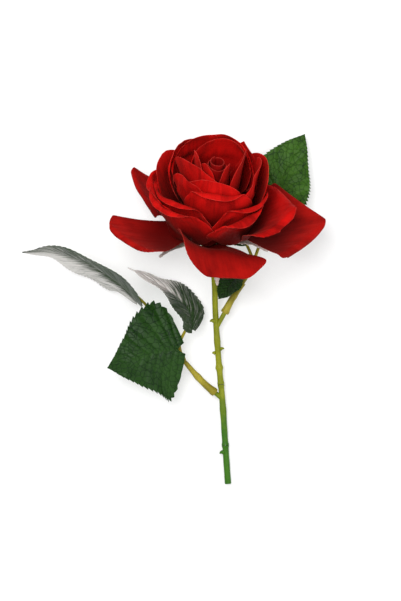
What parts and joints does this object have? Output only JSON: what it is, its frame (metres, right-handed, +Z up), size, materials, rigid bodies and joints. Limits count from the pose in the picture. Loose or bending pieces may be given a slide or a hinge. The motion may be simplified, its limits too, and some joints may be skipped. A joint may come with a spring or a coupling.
{
  "type": "artificial rose",
  "caption": "Long-stemmed artificial rose lying on its side, its layered open bloom tipped upwards, with sprays of pointed leaves on a wired stem.",
  "frame": {"origin": "centre of the stem's cut end, where the wire's end face is flush with the section around it", "axes": "+Y from the cut end along the stem towards the bloom, +Z up from the table the rose lies on, +X to the right as seen from above"},
  "size_m": [0.1814, 0.2135, 0.0801],
  "materials": {
    "petal": "matt velvety",
    "leaf": "satin, printed",
    "core_foam": "foam",
    "calyx": "moulded",
    "sepal": "matt, pale edges",
    "stem_green": "moulded",
    "stem_olive": "moulded",
    "leaf_stalk": "moulded",
    "wire": "drawn wire"
  },
  "bodies": {
    "root": {"heart_petal_left": "petal", "heart_petal_right": "petal", "heart_petal_back": "petal", "inner_petal_left": "petal", "inner_petal_right": "petal", "inner_petal_back": "petal", "inner_petal_front": "petal", "cup_petal_front": "petal", "cup_petal_left": "petal", "cup_petal_back": "petal", "cup_petal_right": "petal", "cup_petal_back_left": "petal", "mid_petal_front": "petal", "mid_petal_back_right": "petal", "mid_petal_back": "petal", "mid_petal_right": "petal", "mid_petal_back_left": "petal", "mid_petal_left": "petal", "rolled_petal_left_inner": "petal", "rolled_petal_right_inner": "petal", "rolled_petal_left_outer": "petal", "rolled_petal_right_outer": "petal", "rolled_petal_far_right": "petal", "outer_petal_front": "petal", "outer_petal_right": "petal", "outer_petal_back_right": "petal", "outer_petal_back_left": "petal", "outer_petal_upper_left": "petal", "outer_petal_left": "petal", "bud_coil": "petal", "leaf_left_long": "leaf", "leaf_left_middle": "leaf", "leaf_left_front": "leaf", "leaf_right_top": "leaf", "leaf_right_small": "leaf", "leaf_right_hidden": "leaf", "bud_core": "core_foam", "calyx_cup": "calyx", "sepal_star": "sepal", "stem_section_lower": "stem_green", "stem_section_middle": "stem_green", "stem_section_upper": "stem_olive", "stem_wire": "wire", "leaf_stalk_left": "leaf_stalk", "leaf_stalk_right": "leaf_stalk"}
  },
  "joints": []
}
